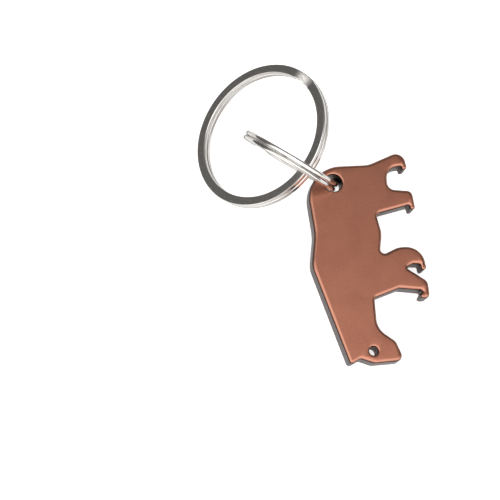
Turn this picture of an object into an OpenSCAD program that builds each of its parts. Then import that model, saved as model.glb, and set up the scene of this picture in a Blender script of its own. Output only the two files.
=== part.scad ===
// Keychain bottle opener: a flat metal plate cut as a walking bear, on two split rings.
// It lies on a table at z = 0. The small ring stands on edge in the plate's hole and props
// the bear's rump up, and the key ring is threaded through the small ring and leans on the table.
// Millimetres, +Z up. The origin is on the table, under the middle of the whole object.

/* [Plate] */
// Length of the plate from muzzle to rump
plate_length = 55.5; // [44:0.5:66]
// Height of the plate from the paws to the shoulder
plate_height = 30; // [24:0.1:36]
// Thickness of the plate
plate_thickness = 5; // [4:0.25:6]
// Radius of the rounding along the plate's edges
edge_round = 0.9; // [0.2:0.05:1.2]

/* [Holes] */
// Clearance between the small ring's wire and the wall of its hole
ring_hole_clearance = 0.08; // [0.05:0.01:0.4]
// Distance of the ring hole's axis from the end of the rump
ring_hole_from_rump = 6.9; // [6:0.1:8]
// Distance of the ring hole's axis from the top of the shoulder
ring_hole_from_top = 8.5; // [7:0.1:10]
// Diameter of the hole for the bear's eye
eye_diameter = 2.4; // [1.6:0.1:3]
// Distance of the eye from the muzzle
eye_from_muzzle = 3.2; // [2.8:0.1:5]
// Distance of the eye above the paws
eye_from_paws = 17.2; // [14:0.1:19]
// Radius of the rounding at the mouths of both holes
rim_round = 0.5; // [0.1:0.05:0.6]

/* [Small ring] */
// Outer diameter of the small ring
small_ring_diameter = 28; // [24:0.5:34]
// Width of its wire, measured across the ring's radius
small_wire_width = 1.5; // [1.2:0.1:1.6]
// Height of its two coils together, measured along the ring's axis
small_ring_height = 2.6; // [2.2:0.1:2.8]

/* [Key ring] */
// Outer diameter of the key ring
key_ring_diameter = 40; // [34:0.5:48]
// Width of its wire, measured across the ring's radius
key_wire_width = 2.4; // [1.8:0.1:2.8]
// Height of its two coils together, measured along the ring's axis
key_ring_height = 2.8; // [2.2:0.1:3.4]

/* [Split rings] */
// Gap between the two coils of a split ring
coil_gap = 0.1; // [0.05:0.05:0.2]
// Length of the step where the wire crosses from one coil to the other
crossing_length = 6.4; // [4:0.2:8]
// Radius of the rounded corners of the small ring's wire
small_wire_round = 0.5; // [0.3:0.02:0.54]
// Radius of the rounded corners of the key ring's wire
key_wire_round = 0.28; // [0.1:0.02:0.4]

/* [How it lies] */
// Heading of the plate's length about the vertical
plate_heading = 97; // [0:1:359]
// Angle by which the rump end is raised
plate_pitch = 8.2; // [4:0.1:12]
// Angle by which the bear's back is raised
plate_roll = 8.3; // [4:0.1:12]
// Heading of the small ring's plane
small_ring_heading = 146.5; // [140:0.2:150]
// Lean of the small ring's plane from the vertical
small_ring_lean = 22.1; // [18:0.1:28]
// Heading of the key ring's plane
key_ring_heading = -86.4; // [-95:0.2:-75]
// Lean of the key ring's plane from the vertical
key_ring_lean = 57.3; // [50:0.1:65]

/* [Hidden] */
$fn = 96;

copper_brown = [0.58, 0.37, 0.29];
nickel = [0.76, 0.75, 0.72];

// ---- Outline of the bear ----
// Corners of the outline as [x, y, radius], on a bear 55.5 long and 30 high that faces -X and
// stands on y = 0. They run anticlockwise from the muzzle. Each corner becomes an arc.
drawn_length = 55.5;
drawn_height = 30;
drawn_corners = [
  // muzzle, jaw and throat
  [0.0, 9.3, 1.6],
  [5.2, 10.9, 2.2],
  [8.9, 15.3, 4.8],
  // near front leg: its front edge, the lip that lifts the cap, the paw and the heel
  [17.0, 14.9, 1.2],
  [19.0, 7.9, 1.5],
  [17.9, 1.7, 0.4],
  [16.2, 3.0, 0.55],
  [15.4, 0.1, 1.3],
  [20.3, 0.0, 2.1],
  // far front leg: the notch behind the near leg, the lip, and the rounded heel
  [24.3, 5.3, 0.4],
  [25.2, 3.5, 1.5],
  [25.0, 1.5, 0.4],
  [23.3, 1.2, 0.5],
  [23.6, 0.0, 0.5],
  [29.9, -0.4, 4.8],
  [30.0, 6.6, 4.8],
  // belly
  [27.9, 11.9, 1.1],
  [34.1, 10.4, 6.0],
  [39.4, 11.2, 1.3],
  // near hind leg, with its lip
  [41.2, 1.9, 0.4],
  [39.9, 1.7, 0.5],
  [40.0, 0.5, 0.5],
  [45.0, 0.5, 1.5],
  // gap between the hind legs
  [45.9, 7.0, 1.9],
  [51.5, 6.7, 3.3],
  // far hind leg, with its lip
  [52.1, 2.5, 0.4],
  [51.0, 2.4, 0.5],
  [51.2, 1.1, 0.5],
  [56.7, 1.0, 2.6],
  [53.0, 11.4, 6.0],
  // rump, back and shoulder
  [53.4, 28.8, 9.2],
  [35.2, 28.3, 12.0],
  [27.0, 30.2, 7.0],
  // ear and forehead
  [0.1, 23.7, 0.9],
  [1.5, 20.8, 1.2],
  [0.0, 17.6, 3.0],
];
corners = [for (c = drawn_corners)
  [c.x * plate_length / drawn_length, c.y * plate_height / drawn_height, c[2]]];

function at(list, i) = list[(i + len(list)) % len(list)];
function xy(p) = [p.x, p.y];
function unit(v) = v / norm(v);
function cross_z(a, b) = a.x * b.y - a.y * b.x;

// Direction of the edge that leaves corner i, the turn there (positive to the left), and the
// largest tangent length that leaves room for the neighbours' arcs. A tangent takes a little less
// than half of an edge, or a little less than all that the neighbour leaves of it.
edge_share = 0.495;
left_share = 0.99;
function edge_dir(i) = unit(xy(at(corners, i + 1)) - xy(at(corners, i)));
function edge_len(i) = norm(xy(at(corners, i + 1)) - xy(at(corners, i)));
function turn_at(i) = atan2(cross_z(edge_dir(i - 1), edge_dir(i)), edge_dir(i - 1) * edge_dir(i));
function room_at(i) = edge_share * min(edge_len(i - 1), edge_len(i));
function wanted_tangent(i) = corners[i][2] * tan(abs(turn_at(i)) / 2);
function tangent_at(i) = let (
    want = wanted_tangent(i),
    before = edge_len(i - 1) - min(wanted_tangent((i - 1 + len(corners)) % len(corners)),
                                   edge_share * edge_len(i - 1)),
    after = edge_len(i) - min(wanted_tangent((i + 1) % len(corners)), edge_share * edge_len(i))
  ) min(want, max(room_at(i), min(before, after) * left_share));
function radius_at(i) = tangent_at(i) / tan(abs(turn_at(i)) / 2);

// Points of the arc at corner i, in steps of a few degrees that are finer on a wide curve.
arc_step = 15;
wide_arc_step = 9;
wide_radius = 3;
function arc_at(i) = let (
    turn = turn_at(i),
    side = sign(turn),
    r = radius_at(i),
    start = xy(corners[i]) - edge_dir(i - 1) * tangent_at(i),
    normal = [-edge_dir(i - 1).y, edge_dir(i - 1).x] * side,
    centre = start + normal * r,
    steps = max(1, ceil(abs(turn) / (r > wide_radius ? wide_arc_step : arc_step)))
  ) [for (k = [0 : steps]) let (a = turn * k / steps)
      centre + [
        -normal.x * r * cos(a) + normal.y * r * sin(a),
        -normal.y * r * cos(a) - normal.x * r * sin(a)
      ]];
outline = [for (i = [0 : len(corners) - 1]) each arc_at(i)];

// The rounding at each point of the outline. An outward corner takes most of its own radius and no
// more, and the rounding grows back to its full size over the next few millimetres.
corner_share = 0.9;
round_growth = 0.4;
outward = [for (i = [0 : len(corners) - 1]) if (turn_at(i) > 0)
  [xy(corners[i]), tangent_at(i), corner_share * radius_at(i)]];
rounding = [for (p = outline) min(concat([edge_round], [for (c = outward)
  c[2] + round_growth * max(0, norm(p - c[0]) - c[1])]))];

// Direction at each point of the outline that moves both of its neighbouring edges inwards by 1.
inwards = [for (i = [0 : len(outline) - 1]) let (
    a = unit(outline[i] - at(outline, i - 1)),
    b = unit(at(outline, i + 1) - outline[i]),
    na = [-a.y, a.x],
    nb = [-b.y, b.x]
  ) (na + nb) / (1 + na * nb)];

// Levels of the rounded side, from the back face up to the front face. Each is an angle round the
// rounding, from 0 on the flat face to 90 on the straight side, and the face that it belongs to.
round_steps = 4;
side_levels = concat(
  [for (k = [0 : round_steps]) [90 * k / round_steps, 0]],
  [for (k = [round_steps : -1 : 0]) [90 * k / round_steps, 1]]
);
plate_points = [for (level = side_levels, i = [0 : len(outline) - 1]) let (
    p = outline[i] + inwards[i] * rounding[i] * (1 - sin(level[0])),
    drop = rounding[i] * (1 - cos(level[0]))
  ) [p.x, p.y, level[1] == 0 ? drop : plate_thickness - drop]];

// ---- How the pieces lie ----
function turn_x(a) = [[1, 0, 0], [0, cos(a), -sin(a)], [0, sin(a), cos(a)]];
function turn_y(a) = [[cos(a), 0, sin(a)], [0, 1, 0], [-sin(a), 0, cos(a)]];
function turn_z(a) = [[cos(a), -sin(a), 0], [sin(a), cos(a), 0], [0, 0, 1]];

// The plate: turned, then raised until its lowest point touches the table.
plate_turn = turn_z(plate_heading) * turn_y(-plate_pitch) * turn_x(plate_roll);
turned_points = [for (p = plate_points) plate_turn * p];
plate_lift = [0, 0, -min([for (p = turned_points) p.z])];
ring_hole = [plate_length - ring_hole_from_rump, plate_height - ring_hole_from_top];
eye = [eye_from_muzzle, eye_from_paws];
hole_middle = plate_turn * [ring_hole.x, ring_hole.y, plate_thickness / 2] + plate_lift;

// A ring that leans on the table. Its plane has a heading and a lean; along is its level
// direction, rise its steepest one, and axis its normal.
function ring_along(heading) = [cos(heading), sin(heading), 0];
function ring_rise(heading, lean) =
  [-sin(heading) * sin(lean), cos(heading) * sin(lean), cos(lean)];
function ring_axis(heading, lean) = cross(ring_along(heading), ring_rise(heading, lean));
// Half of the ring's height above the table.
function ring_reach(d, h, lean) = d / 2 * cos(lean) + h / 2 * sin(lean);
// The centre of such a ring that passes through a point at a given distance from its centre,
// and touches the table. side picks which of the two possible places it takes.
function leaning_centre(point, distance, d, h, heading, lean, side) = let (
    up = (ring_reach(d, h, lean) - point.z) / (distance * cos(lean)),
    level = side * sqrt(1 - up * up)
  ) point + distance * (level * ring_along(heading) + up * ring_rise(heading, lean));

// The small ring's wire runs through the middle of the hole, pushed a little outwards.
wire_in_hole_offset = 0.6;
small_centre = leaning_centre(
  hole_middle, (small_ring_diameter - small_wire_width) / 2 - wire_in_hole_offset,
  small_ring_diameter, small_ring_height, small_ring_heading, small_ring_lean, 1);

// The wire passes through the plate at a slant, so the hole is sized to it: the middle of each of
// the wire's four rounded edges is followed through, less what the rounded mouths already give.
followed_angle = 20;
followed_step = 0.5;
function to_plate(v) = [for (axis = [[1, 0, 0], [0, 1, 0], [0, 0, 1]]) v * (plate_turn * axis)];
function mouth_flare(depth) = let (up = max(0, rim_round - max(0, depth)))
  rim_round - sqrt(max(0, rim_round * rim_round - up * up));
small_axis = ring_axis(small_ring_heading, small_ring_lean);
hole_start = atan2((hole_middle - small_centre) * ring_rise(small_ring_heading, small_ring_lean),
                   (hole_middle - small_centre) * ring_along(small_ring_heading));
edge_in = small_wire_round * (1 - cos(45));
wire_reaches = [for (a = [-followed_angle : followed_step : followed_angle],
    u = [edge_in, small_wire_width - edge_in], v = [-1, 1]) let (
    edge_point = to_plate(small_centre - hole_middle
      + v * (small_ring_height / 2 - edge_in) * small_axis
      + (small_ring_diameter / 2 - u) * (
        cos(hole_start + a) * ring_along(small_ring_heading)
        + sin(hole_start + a) * ring_rise(small_ring_heading, small_ring_lean))),
    depth = plate_thickness / 2 - abs(edge_point.z)
  ) if (depth > 0) norm(xy(edge_point)) - mouth_flare(depth)];
// Holes are drilled to the next tenth of a millimetre.
ring_hole_diameter = ceil(20 * (max(wire_reaches) + ring_hole_clearance)) / 10;

// The key ring's wire crosses the small ring's opening, a clear gap in from the small ring's wire.
key_to_small_gap = 2.94;
small_opening = small_ring_diameter / 2 - small_wire_width;
crossing_reach = small_opening - key_wire_width / 2 - key_to_small_gap;
crossing_angle = 137.1;
crossing_point = small_centre + crossing_reach * (
  cos(crossing_angle) * ring_along(small_ring_heading)
  + sin(crossing_angle) * ring_rise(small_ring_heading, small_ring_lean));
key_centre = leaning_centre(
  crossing_point, (key_ring_diameter - key_wire_width) / 2,
  key_ring_diameter, key_ring_height, key_ring_heading, key_ring_lean, -1);

// Where each ring's crossing step is, as an angle about the ring.
small_split_angle = 320;
key_split_angle = 130;

// The object's box, which gives the shift that brings the origin under its middle.
function ring_half(axis, d, h, i) = d / 2 * sqrt(1 - axis[i] * axis[i]) + h / 2 * abs(axis[i]);
key_axis = ring_axis(key_ring_heading, key_ring_lean);
function low(i) = min(concat(
  [for (p = turned_points) p[i]],
  [small_centre[i] - ring_half(small_axis, small_ring_diameter, small_ring_height, i),
   key_centre[i] - ring_half(key_axis, key_ring_diameter, key_ring_height, i)]));
function high(i) = max(concat(
  [for (p = turned_points) p[i]],
  [small_centre[i] + ring_half(small_axis, small_ring_diameter, small_ring_height, i),
   key_centre[i] + ring_half(key_axis, key_ring_diameter, key_ring_height, i)]));
to_middle = [-(low(0) + high(0)) / 2, -(low(1) + high(1)) / 2, 0];

// ---- Shapes ----
// Faces of a closed skin over rows of n points each: a cap, two triangles between each pair of
// neighbours in each pair of rows, and the other cap.
function skin_faces(n, rows) = concat(
  [[for (i = [0 : n - 1]) i]],
  [for (k = [0 : rows - 2], i = [0 : n - 1]) let (j = (i + 1) % n)
    each [[k * n + i, (k + 1) * n + i, (k + 1) * n + j], [k * n + i, (k + 1) * n + j, k * n + j]]],
  [[for (i = [n - 1 : -1 : 0]) (rows - 1) * n + i]]
);

// The plate before its holes are cut. resize() sets its exact thickness.
module rounded_plate() {
  resize([0, 0, plate_thickness])
    polyhedron(plate_points, skin_faces(len(outline), len(side_levels)), convexity = 10);
}

// A drilled hole through the plate with both mouths rounded over.
module rounded_hole(place, d) {
  past = 1;
  r = d / 2;
  mouth = [
    [0, -past],
    [r + rim_round, -past],
    [r + rim_round, 0],
    for (a = [15 : 15 : 75]) [r + rim_round * (1 - sin(a)), rim_round * (1 - cos(a))],
    [r, rim_round],
    [0, rim_round],
  ];
  translate([place.x, place.y, 0]) {
    translate([0, 0, -past])
      cylinder(r = r, h = plate_thickness + 2 * past);
    rotate_extrude()
      polygon(mouth);
    translate([0, 0, plate_thickness])
      mirror([0, 0, 1])
        rotate_extrude()
          polygon(mouth);
  }
}

// Section of the flattened wire: a rectangle with rounded corners, centred on [0, 0].
function wire_section(w, h, r) = [
  for (q = [0 : 3], a = [0 : 30 : 90]) let (
    sx = (q == 0 || q == 3) ? 1 : -1,
    sy = q < 2 ? 1 : -1
  ) [sx * (w / 2 - r), sy * (h / 2 - r)] + r * [cos(90 * q + a), sin(90 * q + a)]
];

// A split ring about Z: two coils of flattened wire. The wire climbs from the lower coil to the
// upper one at split_angle, and each coil's free end stops an end_gap short of that step. The step
// runs a few degrees into both coils, a hair thinner than they are, so that all three join.
end_gap = 0.4;
module split_ring(outer, wire_w, ring_h, corner_round, split_angle) {
  coil_h = (ring_h - coil_gap) / 2;
  layer = (coil_h + coil_gap) / 2;
  r = (outer - wire_w) / 2;
  half_step = crossing_length / r * 90 / PI;
  free_gap = end_gap / r * 180 / PI;
  coil_turn = 360 - 2 * half_step - free_gap;
  overlap = 1.5;
  slack = 0.02;
  section = wire_section(wire_w, coil_h, corner_round);
  step_section = wire_section(wire_w - 2 * slack, coil_h - 2 * slack, corner_round - slack);
  steps = 14;
  reach = half_step + overlap;
  step_points = [for (k = [0 : steps]) let (
      a = reach * (1 - 2 * k / steps),
      t = min(1, max(0, (a + half_step) / (2 * half_step))),
      z = layer * (2 * t * t * (3 - 2 * t) - 1)
    ) each [for (p = step_section) [(r + p.x) * cos(a), (r + p.x) * sin(a), z + p.y]]];

  rotate([0, 0, split_angle]) {
    rotate_extrude(angle = coil_turn, start = half_step)
      translate([r, layer])
        polygon(section);
    rotate_extrude(angle = coil_turn, start = half_step + free_gap)
      translate([r, -layer])
        polygon(section);
    polyhedron(step_points, skin_faces(len(step_section), steps + 1));
  }
}

// ---- Sub-parts ----
module opener_plate() {
  color(copper_brown)
    translate(to_middle + plate_lift)
      rotate([plate_roll, -plate_pitch, plate_heading])
        difference() {
          rounded_plate();
          rounded_hole(ring_hole, ring_hole_diameter);
          rounded_hole(eye, eye_diameter);
        }
}

module small_ring() {
  color(nickel)
    translate(to_middle + small_centre)
      rotate([90 - small_ring_lean, 0, small_ring_heading])
        split_ring(small_ring_diameter, small_wire_width, small_ring_height,
          small_wire_round, small_split_angle);
}

module key_ring() {
  color(nickel)
    translate(to_middle + key_centre)
      rotate([90 - key_ring_lean, 0, key_ring_heading])
        split_ring(key_ring_diameter, key_wire_width, key_ring_height,
          key_wire_round, key_split_angle);
}

opener_plate();
small_ring();
key_ring();
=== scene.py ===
# %% [markdown]
# # A keychain bottle opener
# The opener is a flat metal plate cut as a walking bear. A small split ring passes through a hole in
# its rump, and a larger key ring hangs in the small one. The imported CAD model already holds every
# size and place, so the first step loads it, and all that follows is measured from it.

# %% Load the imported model
import math
from collections import defaultdict

import bmesh
import bpy
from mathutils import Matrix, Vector


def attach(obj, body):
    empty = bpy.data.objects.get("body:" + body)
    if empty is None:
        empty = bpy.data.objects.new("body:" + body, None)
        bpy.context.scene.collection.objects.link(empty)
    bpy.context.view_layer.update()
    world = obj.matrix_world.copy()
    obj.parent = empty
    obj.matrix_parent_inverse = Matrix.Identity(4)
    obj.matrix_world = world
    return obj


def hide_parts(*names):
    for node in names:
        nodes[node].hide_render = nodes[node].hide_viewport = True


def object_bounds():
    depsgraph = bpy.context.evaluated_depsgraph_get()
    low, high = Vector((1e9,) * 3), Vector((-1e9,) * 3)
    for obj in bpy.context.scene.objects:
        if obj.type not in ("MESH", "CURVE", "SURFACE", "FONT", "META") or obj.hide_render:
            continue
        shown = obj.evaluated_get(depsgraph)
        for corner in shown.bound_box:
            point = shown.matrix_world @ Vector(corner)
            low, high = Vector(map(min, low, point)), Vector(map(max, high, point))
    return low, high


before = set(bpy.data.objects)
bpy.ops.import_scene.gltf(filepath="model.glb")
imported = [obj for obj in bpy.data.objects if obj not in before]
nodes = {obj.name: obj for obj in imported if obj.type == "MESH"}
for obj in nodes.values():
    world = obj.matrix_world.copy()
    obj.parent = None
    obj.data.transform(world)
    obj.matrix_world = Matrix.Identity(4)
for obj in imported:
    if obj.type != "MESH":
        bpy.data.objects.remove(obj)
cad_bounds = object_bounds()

MM = 0.001
print("nodes:", ", ".join(sorted(nodes)))
print("box in mm:", [[round(c / MM, 2) for c in corner] for corner in cad_bounds])

# %% [markdown]
# ## Measuring the pieces
# The plate and both rings lie at odd angles, so their own directions are needed before anything can
# be built or painted on them. A flat piece shows its axis in its mesh: it is the direction that most
# of the piece's flat area faces. Measuring it here keeps this file in step with the CAD model.


# %% The axis of a flat piece
def flat_axis(node):
    """The direction, upwards, that most of a node's area faces."""
    areas = defaultdict(float)
    sums = defaultdict(Vector)
    for face in nodes[node].data.polygons:
        up = face.normal if face.normal.z > 0 else -face.normal
        key = tuple(round(c, 2) for c in up)
        areas[key] += face.area
        sums[key] = sums[key] + up * face.area
    return sums[max(areas, key=areas.get)].normalized()


plate_axis = flat_axis("opener_plate")
print("plate axis:", [round(c, 3) for c in plate_axis])


# %% The frame of a ring
# Only the step between the two coils has points this close to the ring's middle plane.
STEP_BAND = 0.04 * MM


def middle_and_span(points, direction):
    """The middle of some points along a direction, and how far they reach along it."""
    along = [p.dot(direction) for p in points]
    return (max(along) + min(along)) / 2, max(along) - min(along)


class RingFrame:
    """Where a split ring is: its centre, axis, sizes, and the direction of its crossing step."""

    def __init__(self, node):
        points = [v.co for v in nodes[node].data.vertices]
        self.axis = flat_axis(node)
        side = self.axis.orthogonal().normalized()
        other = self.axis.cross(side)
        level, self.height = middle_and_span(points, self.axis)
        self.centre = self.axis * level
        for direction in (side, other):
            self.centre = self.centre + direction * middle_and_span(points, direction)[0]
        offsets = [p - self.centre for p in points]
        flat = [(o.dot(self.axis), o - self.axis * o.dot(self.axis)) for o in offsets]
        self.outer = max(f.length for _, f in flat)
        self.inner = min(f.length for _, f in flat)
        step = [f for h, f in flat if abs(h) < STEP_BAND]
        self.start = sum(step, Vector()).normalized()
        self.quarter = self.axis.cross(self.start)

    def place(self, angle, radius, height):
        """The point at an angle from the step, a radius and a height above the middle plane."""
        outwards = self.start * math.cos(angle) + self.quarter * math.sin(angle)
        return self.centre + outwards * radius + self.axis * height


rings = {node: RingFrame(node) for node in ("small_ring", "key_ring")}
for node, ring in rings.items():
    wire_width = ring.outer - ring.inner
    print(node, "diameter", round(2 * ring.outer / MM, 2), "wire", round(wire_width / MM, 2),
          "height", round(ring.height / MM, 2))

# %% [markdown]
# ## The camera
# The view looks down steeply from the bear's nose towards the rings. A long lens keeps the shapes
# undistorted, as in a shop's catalogue. The camera aims a little to the left of the object, where
# such a key ring would carry its keys, so the bear stands right of the middle.

# %% Camera
VIEW_ELEVATION = math.radians(67)
VIEW_DISTANCE = 0.3928
AIM_FROM_MIDDLE = Vector((-16.13, -9.68, -7.25)) * MM
LENS = 108
SENSOR_WIDTH = 36
NEAREST_SEEN = 0.01

box_middle = (Vector(cad_bounds[0]) + Vector(cad_bounds[1])) / 2
aim = box_middle + AIM_FROM_MIDDLE
towards_camera = Vector((0, -math.cos(VIEW_ELEVATION), math.sin(VIEW_ELEVATION)))
camera_data = bpy.data.cameras.new("camera")
camera_data.lens = LENS
camera_data.sensor_width = SENSOR_WIDTH
camera_data.clip_start = NEAREST_SEEN
camera = bpy.data.objects.new("camera", camera_data)
camera.location = aim + towards_camera * VIEW_DISTANCE
camera.rotation_euler = (math.pi / 2 - VIEW_ELEVATION, 0, 0)
bpy.context.scene.collection.objects.link(camera)
bpy.context.scene.camera = camera
bpy.context.scene.view_settings.view_transform = "Standard"
print("camera at", [round(c, 4) for c in camera.location])

# %% [markdown]
# ## Writing shaders as arithmetic
# A node tree is only a sum written with boxes. The three small classes below let it be written as a
# sum again: a `Wire` is a socket that can be added, subtracted and multiplied, a `Tree` makes every
# other node with one method, and a `Finish` is a tree with one metal or paper shader in it. Each
# material further down is then a few lines that can be read.


# %% Wires and trees
class Wire:
    """An output socket. Arithmetic on it adds Math nodes to its tree."""

    def __init__(self, tree, socket):
        self.tree = tree
        self.socket = socket

    def maths(self, operation, *values):
        return self.tree.node("ShaderNodeMath", {"operation": operation}, dict(enumerate(values)))

    def __add__(self, other):
        return self.maths("ADD", self, other)

    def __sub__(self, other):
        return self.maths("SUBTRACT", self, other)

    def __rsub__(self, other):
        return self.maths("SUBTRACT", other, self)

    def __mul__(self, other):
        return self.maths("MULTIPLY", self, other)

    def __abs__(self):
        return self.maths("ABSOLUTE", self)

    __radd__ = __add__
    __rmul__ = __mul__

    def ramp(self, low, high):
        """0 below low, 1 above high, and a smooth climb between them."""
        settings = {"interpolation_type": "SMOOTHSTEP"}
        inputs = {"Value": self, "From Min": low, "From Max": high}
        return self.tree.node("ShaderNodeMapRange", settings, inputs)


class Tree:
    """A node tree. node() makes any node, sets it up, fills its sockets and returns an output."""

    def __init__(self, tree):
        self.tree = tree

    def node(self, kind, settings=None, inputs=None, output=0):
        node = self.tree.nodes.new(kind)
        for name, value in (settings or {}).items():
            setattr(node, name, value)
        for name, value in (inputs or {}).items():
            socket = node.inputs[name]
            if isinstance(value, Wire):
                self.tree.links.new(value.socket, socket)
            else:
                socket.default_value = value
        return Wire(self, node.outputs[output]) if node.outputs else node

    def dot(self, vector, direction):
        """How far a vector reaches along a fixed direction."""
        settings = {"operation": "DOT_PRODUCT"}
        return self.node("ShaderNodeVectorMath", settings, {0: vector, 1: direction}, "Value")

    def blend(self, factor, low, high):
        """A mix of two colours, low where the factor is 0 and high where it is 1."""
        inputs = {"Factor": factor, 6: low, 7: high}
        return self.node("ShaderNodeMix", {"data_type": "RGBA"}, inputs, 2)

    def noise(self, vector, scale, detail=2.0, roughness=0.5):
        inputs = {"Vector": vector, "Scale": scale, "Detail": detail, "Roughness": roughness}
        return self.node("ShaderNodeTexNoise", {"noise_dimensions": "3D"}, inputs, "Fac")


class Finish(Tree):
    """A material with one Principled shader. Constants go straight onto the shader's own sockets."""

    def __init__(self, name, **constants):
        self.material = bpy.data.materials.new(name)
        self.material.use_nodes = True
        super().__init__(self.material.node_tree)
        self.shader = self.tree.nodes["Principled BSDF"]
        for socket, value in constants.items():
            self.feed(socket.replace("_", " "), value)

    def feed(self, socket, value):
        target = self.shader.inputs[socket]
        if isinstance(value, Wire):
            self.tree.links.new(value.socket, target)
        else:
            target.default_value = value

    def place(self):
        """The point on the piece, in metres, which turns with the piece."""
        return self.node("ShaderNodeTexCoord", output="Object")

    def facing(self, axis):
        """1 where the surface faces along an axis or against it, 0 where it faces sideways."""
        return abs(self.dot(self.node("ShaderNodeTexCoord", output="Normal"), axis))


print("Wire, Tree and Finish are ready")

# %% [markdown]
# ## Floor and light
# Polished metal shows its surroundings more than its own colour, so the light is designed as a
# picture that the metal can reflect: one wide soft source in front and above, fading to dim grey at
# the back and sides. Written as a world shader, it is a smooth function of direction. The lens
# itself sees plain pale air, and the floor glows a little, as a lit paper sweep does.

# %% Floor
FLOOR_SIZE = 4.0
PAPER_WHITE = (0.86, 0.86, 0.86, 1)
GLOW_SEEN = (1, 1, 1, 1)
GLOW_ON_METAL = (0.22, 0.22, 0.22, 1)
GLOW_STRENGTH = 0.7


def flat_square(name, size):
    half = size / 2
    corners = [(x, y, 0) for x, y in ((-half, -half), (half, -half), (half, half), (-half, half))]
    mesh = bpy.data.meshes.new(name)
    mesh.from_pydata(corners, [], [(0, 1, 2, 3)])
    square = bpy.data.objects.new(name, mesh)
    bpy.context.scene.collection.objects.link(square)
    return square


paper = Finish("white_paper", Base_Color=PAPER_WHITE, Roughness=0.9)
seen = paper.node("ShaderNodeLightPath", output="Is Camera Ray")
paper.feed("Emission Color", paper.blend(seen, GLOW_ON_METAL, GLOW_SEEN))
paper.feed("Emission Strength", GLOW_STRENGTH)
floor = flat_square("floor", FLOOR_SIZE)
floor.data.materials.append(paper.material)
print("floor is", FLOOR_SIZE, "m across")

# %% World
SOFT_SOURCE = Vector((-0.1, -0.85, 0.52)).normalized()
AMBIENT = 0.14
SOURCE_STRENGTH = 1.35
OVERHEAD_STRENGTH = 0.22
SOURCE_EDGE = (0.22, 0.5)
OVERHEAD_EDGE = (0.55, 0.95)
AIR_SEEN = 0.95

world = bpy.data.worlds.new("studio")
world.use_nodes = True
bpy.context.scene.world = world
studio = Tree(world.node_tree)
direction = studio.node("ShaderNodeTexCoord", output="Generated")
source = studio.dot(direction, SOFT_SOURCE).ramp(*SOURCE_EDGE)
overhead = studio.dot(direction, (0, 0, 1)).ramp(*OVERHEAD_EDGE)
strength = source * SOURCE_STRENGTH + overhead * OVERHEAD_STRENGTH + AMBIENT
seen = studio.node("ShaderNodeLightPath", output="Is Camera Ray")
background = world.node_tree.nodes["Background"]
background.inputs["Color"].default_value = (1, 1, 1, 1)
shown = strength * (1 - seen) + seen * AIR_SEEN
world.node_tree.links.new(shown.socket, background.inputs["Strength"])
print("the soft source stands towards", [round(c, 2) for c in SOFT_SOURCE])

# %% [markdown]
# ## Copper-brown plate
# The plate is satin metal with a warm brown film, probably anodised. Such a film is even on the flat
# faces. The rounded edges are painted lighter, partly as film that the tumbler thinned and partly as
# a painted highlight; a narrow band below that is painted shade, and the cut sides are grey, darkened
# with painted shade. The surface's own normal tells these zones apart: compared with the plate's axis
# it is 1 on a face, 0 on a side and between them on the rounding. Fine grain goes into the bump.

# %% Plate finish
FACE_BROWN = (0.46, 0.185, 0.115, 1)
FACE_DARKER = (0.40, 0.155, 0.10, 1)
# Lighter brown for the rounded edges: partly wear, partly a painted highlight.
WORN_AND_HIGHLIGHT_BROWN = (0.80, 0.42, 0.31, 1)
# Painted shade for a narrow band low on the rounding.
EDGE_PAINTED_SHADE = (0.03, 0.012, 0.008, 1)
# Grey of the cut sides, darkened as painted shade.
SIDE_GREY_AND_SHADE = (0.10, 0.082, 0.078, 1)
CLOUD_SCALE = 160
GRAIN_SCALE = 2600


def copper_brown():
    finish = Finish("satin_copper_brown", Metallic=1.0, Coat_Weight=0.12, Coat_Roughness=0.25)
    place = finish.place()
    facing = finish.facing(plate_axis)
    clouds = finish.noise(place, CLOUD_SCALE, detail=4)
    grain = finish.noise(place, GRAIN_SCALE, detail=4, roughness=0.65)
    mottle = clouds.ramp(0.35, 0.65) * 0.5 + grain.ramp(0.4, 0.6) * 0.5
    tint = finish.blend(mottle, FACE_BROWN, FACE_DARKER)
    # The rounding band is painted lighter: partly worn film, partly a painted highlight.
    rounding = facing.ramp(0.6, 0.8) * (1 - facing.ramp(0.93, 0.999))
    face = finish.blend(rounding * 0.35, tint, WORN_AND_HIGHLIGHT_BROWN)
    # Painted shade: a narrow dark band low on the rounding.
    with_edge_shade = finish.blend(1 - facing.ramp(0.42, 0.66), face, EDGE_PAINTED_SHADE)
    # The cut sides are grey, darkened as painted shade.
    finish.feed("Base Color", finish.blend(1 - facing.ramp(0.08, 0.16), with_edge_shade, SIDE_GREY_AND_SHADE))
    finish.feed("Roughness", 0.26 + grain * 0.08 + clouds * 0.05)
    relief = {"Strength": 0.25, "Distance": 0.02 * MM, "Height": grain}
    bump = finish.node("ShaderNodeBump", None, relief)
    finish.feed("Normal", bump)
    return finish.material


plate_finish = copper_brown()
print("plate finish:", plate_finish.name)

# %% Dress the plate
WELD_DISTANCE = 0.002 * MM
# How strongly the large flat faces decide the shading beside them, in percent.
AREA_WEIGHT = 80

plate = nodes["opener_plate"]
plate.data.materials.clear()
plate.data.materials.append(plate_finish)
weld = plate.modifiers.new("join the triangles", "WELD")
weld.merge_threshold = WELD_DISTANCE
smooth = plate.modifiers.new("shade by area", "WEIGHTED_NORMAL")
smooth.weight = AREA_WEIGHT
smooth.keep_sharp = False
for face in plate.data.polygons:
    face.use_smooth = True
print("plate has", len(plate.data.polygons), "faces")

# %% [markdown]
# ## Split rings
# A split ring is one length of flattened wire wound twice. It climbs from the lower coil to the upper
# one in a short sloping step, and its two free ends butt against that step. A sweep says this
# directly: the wire's section is a rounded rectangle, and it is carried along an angle that runs
# almost two full turns while its height changes only at the step.

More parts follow.
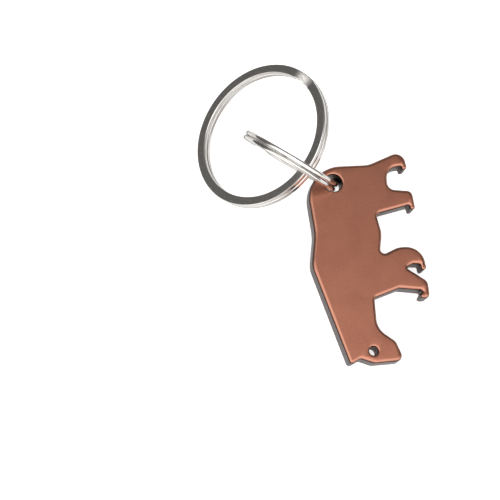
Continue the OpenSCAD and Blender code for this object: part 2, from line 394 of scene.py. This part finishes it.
# %% The wire's section
COIL_GAP = 0.1 * MM
CORNER_STEPS = 6
# The small ring's wire is drawn rounder than the key ring's.
CORNER_RADIUS = {"small_ring": 0.5 * MM, "key_ring": 0.28 * MM}


def wire_section(width, height, corner, shrink):
    """Points of a rounded rectangle, drawn in by shrink, as (across, up) from its middle."""
    radius = corner - shrink
    across = width / 2 - corner
    up = height / 2 - corner
    points = []
    for quarter, (sx, sy) in enumerate(((1, 1), (-1, 1), (-1, -1), (1, -1))):
        for k in range(CORNER_STEPS + 1):
            a = math.pi / 2 * (quarter + k / CORNER_STEPS)
            points.append((sx * across + radius * math.cos(a), sy * up + radius * math.sin(a)))
    return points


print("one slice of wire has", len(wire_section(2, 1, 0.2, 0)), "points")

# %% The wire's path
STEP_LENGTH = 6.4 * MM
END_GAP = 0.4 * MM
END_ROUND = 0.12 * MM
END_STEPS = 4
DEGREES_PER_SLICE = 1.5


def smoothstep(t):
    t = min(1.0, max(0.0, t))
    return t * t * (3 - 2 * t)


def wire_slices(ring):
    """(angle, height of the wire's middle, shrink) for each slice, from one free end to the other."""
    radius = (ring.outer + ring.inner) / 2
    layer = (ring.height + COIL_GAP) / 4
    half_step = STEP_LENGTH / 2 / radius
    last = 2 * math.pi - half_step - END_GAP / radius
    # The last slices before a free end shrink along a quarter circle, which breaks its sharp edge.
    bevel = []
    for k in range(END_STEPS):
        a = math.pi / 2 * k / END_STEPS
        bevel.append((last - END_ROUND * (1 - math.cos(a)) / radius, END_ROUND * (1 - math.sin(a))))
    straight = last - END_ROUND / radius
    count = round(math.degrees(2 * straight) / DEGREES_PER_SLICE)
    slices = [(-angle, -layer, shrink) for angle, shrink in bevel]
    for k in range(count + 1):
        angle = straight * (2 * k / count - 1)
        rise = smoothstep((angle + half_step) / (2 * half_step))
        slices.append((angle, layer * (2 * rise - 1), 0.0))
    slices += [(angle, layer, shrink) for angle, shrink in reversed(bevel)]
    return slices


for node, ring in rings.items():
    print(node, "is swept in", len(wire_slices(ring)), "slices")

# %% Sweep a ring
def sweep_ring(name, node):
    ring = rings[node]
    slices = wire_slices(ring)
    radius = (ring.outer + ring.inner) / 2
    width = ring.outer - ring.inner
    coil_height = (ring.height - COIL_GAP) / 2
    shape = bmesh.new()
    rows = []
    for angle, height, shrink in slices:
        section = wire_section(width, coil_height, CORNER_RADIUS[node], shrink)
        rows.append([shape.verts.new(ring.place(angle, radius + x, height + y)) for x, y in section])
    for row, following in zip(rows, rows[1:]):
        for i in range(len(row)):
            j = (i + 1) % len(row)
            shape.faces.new((row[i], row[j], following[j], following[i]))
    shape.faces.new(rows[0][::-1])
    shape.faces.new(rows[-1])
    bmesh.ops.recalc_face_normals(shape, faces=shape.faces)
    for face in shape.faces:
        face.smooth = True
    mesh = bpy.data.meshes.new(name)
    shape.to_mesh(mesh)
    shape.free()
    piece = bpy.data.objects.new(name, mesh)
    bpy.context.scene.collection.objects.link(piece)
    piece.modifiers.new("shade by area", "WEIGHTED_NORMAL").weight = AREA_WEIGHT
    print(name, "has", len(mesh.polygons), "faces in", len(rows), "slices")
    return piece


# %% [markdown]
# ## Nickel
# Nickel plate is bright but not perfect. The wire was drawn through a die before it was wound, so the
# inner and outer faces carry fine lines that run round the ring, and they stretch every reflection
# along it; their brown colour is a painted reflection. The flat coil faces rub on each other and on
# keys and are duller, and their darker grey is painted shade. Height and radius, measured in the
# ring's own frame, give the lines, and the normal tells flat faces from curved ones.

# %% Nickel finish
BRIGHT_NICKEL = (0.84, 0.82, 0.79, 1)
# Brown of the die lines: a painted reflection.
PAINTED_REFLECTION_BROWN = (0.26, 0.20, 0.165, 1)
# Darker grey of the flat faces: partly dull rubbed nickel, partly painted shade.
DULL_NICKEL_AND_SHADE = (0.40, 0.38, 0.36, 1)
LINE_SCALE = 3400
LINE_DRIFT = 90
SPECK_SCALE = 2800


def nickel(name, ring):
    finish = Finish(name, Metallic=1.0)
    place = finish.place()
    facing = finish.facing(ring.axis)
    vector_maths = "ShaderNodeVectorMath"
    offset = finish.node(vector_maths, {"operation": "SUBTRACT"}, {0: place, 1: ring.centre})
    height = finish.dot(offset, ring.axis)
    outwards = finish.node(vector_maths, {"operation": "CROSS_PRODUCT"}, {0: offset, 1: ring.axis})
    radius = finish.node(vector_maths, {"operation": "LENGTH"}, {0: outwards}, "Value")
    lined = {0: height * LINE_SCALE, 1: radius * LINE_SCALE}
    across = finish.node("ShaderNodeCombineXYZ", None, lined)
    drift = finish.node(vector_maths, {"operation": "MULTIPLY_ADD"},
                        {0: offset, 1: (LINE_DRIFT, LINE_DRIFT, LINE_DRIFT), 2: across})
    lines = finish.noise(drift, 1.0, detail=3, roughness=0.6)
    specks = finish.noise(place, SPECK_SCALE, detail=2)
    flat = facing.ramp(0.9, 0.99)
    # The lines are coloured brown as a painted reflection.
    curved = finish.blend(lines.ramp(0.50, 0.62) * 0.8, BRIGHT_NICKEL, PAINTED_REFLECTION_BROWN)
    # The flat faces get a darker grey that is partly dull nickel and partly painted shade.
    dull_and_shaded = finish.blend(specks.ramp(0.6, 0.7) * 0.6, DULL_NICKEL_AND_SHADE, BRIGHT_NICKEL)
    finish.feed("Base Color", finish.blend(flat, curved, dull_and_shaded))
    finish.feed("Roughness", 0.07 + lines * 0.08 + flat * 0.24)
    relief = {"Strength": 0.25, "Distance": 0.01 * MM, "Height": lines}
    bump = finish.node("ShaderNodeBump", None, relief)
    finish.feed("Normal", bump)
    return finish.material


print("nickel lines to a millimetre, about", round(LINE_SCALE * MM, 1))

# %% Make both rings
for piece_name, node in (("small_split_ring", "small_ring"), ("large_split_ring", "key_ring")):
    piece = sweep_ring(piece_name, node)
    piece.data.materials.append(nickel(piece_name + "_nickel", rings[node]))
    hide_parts(node)
    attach(piece, node)
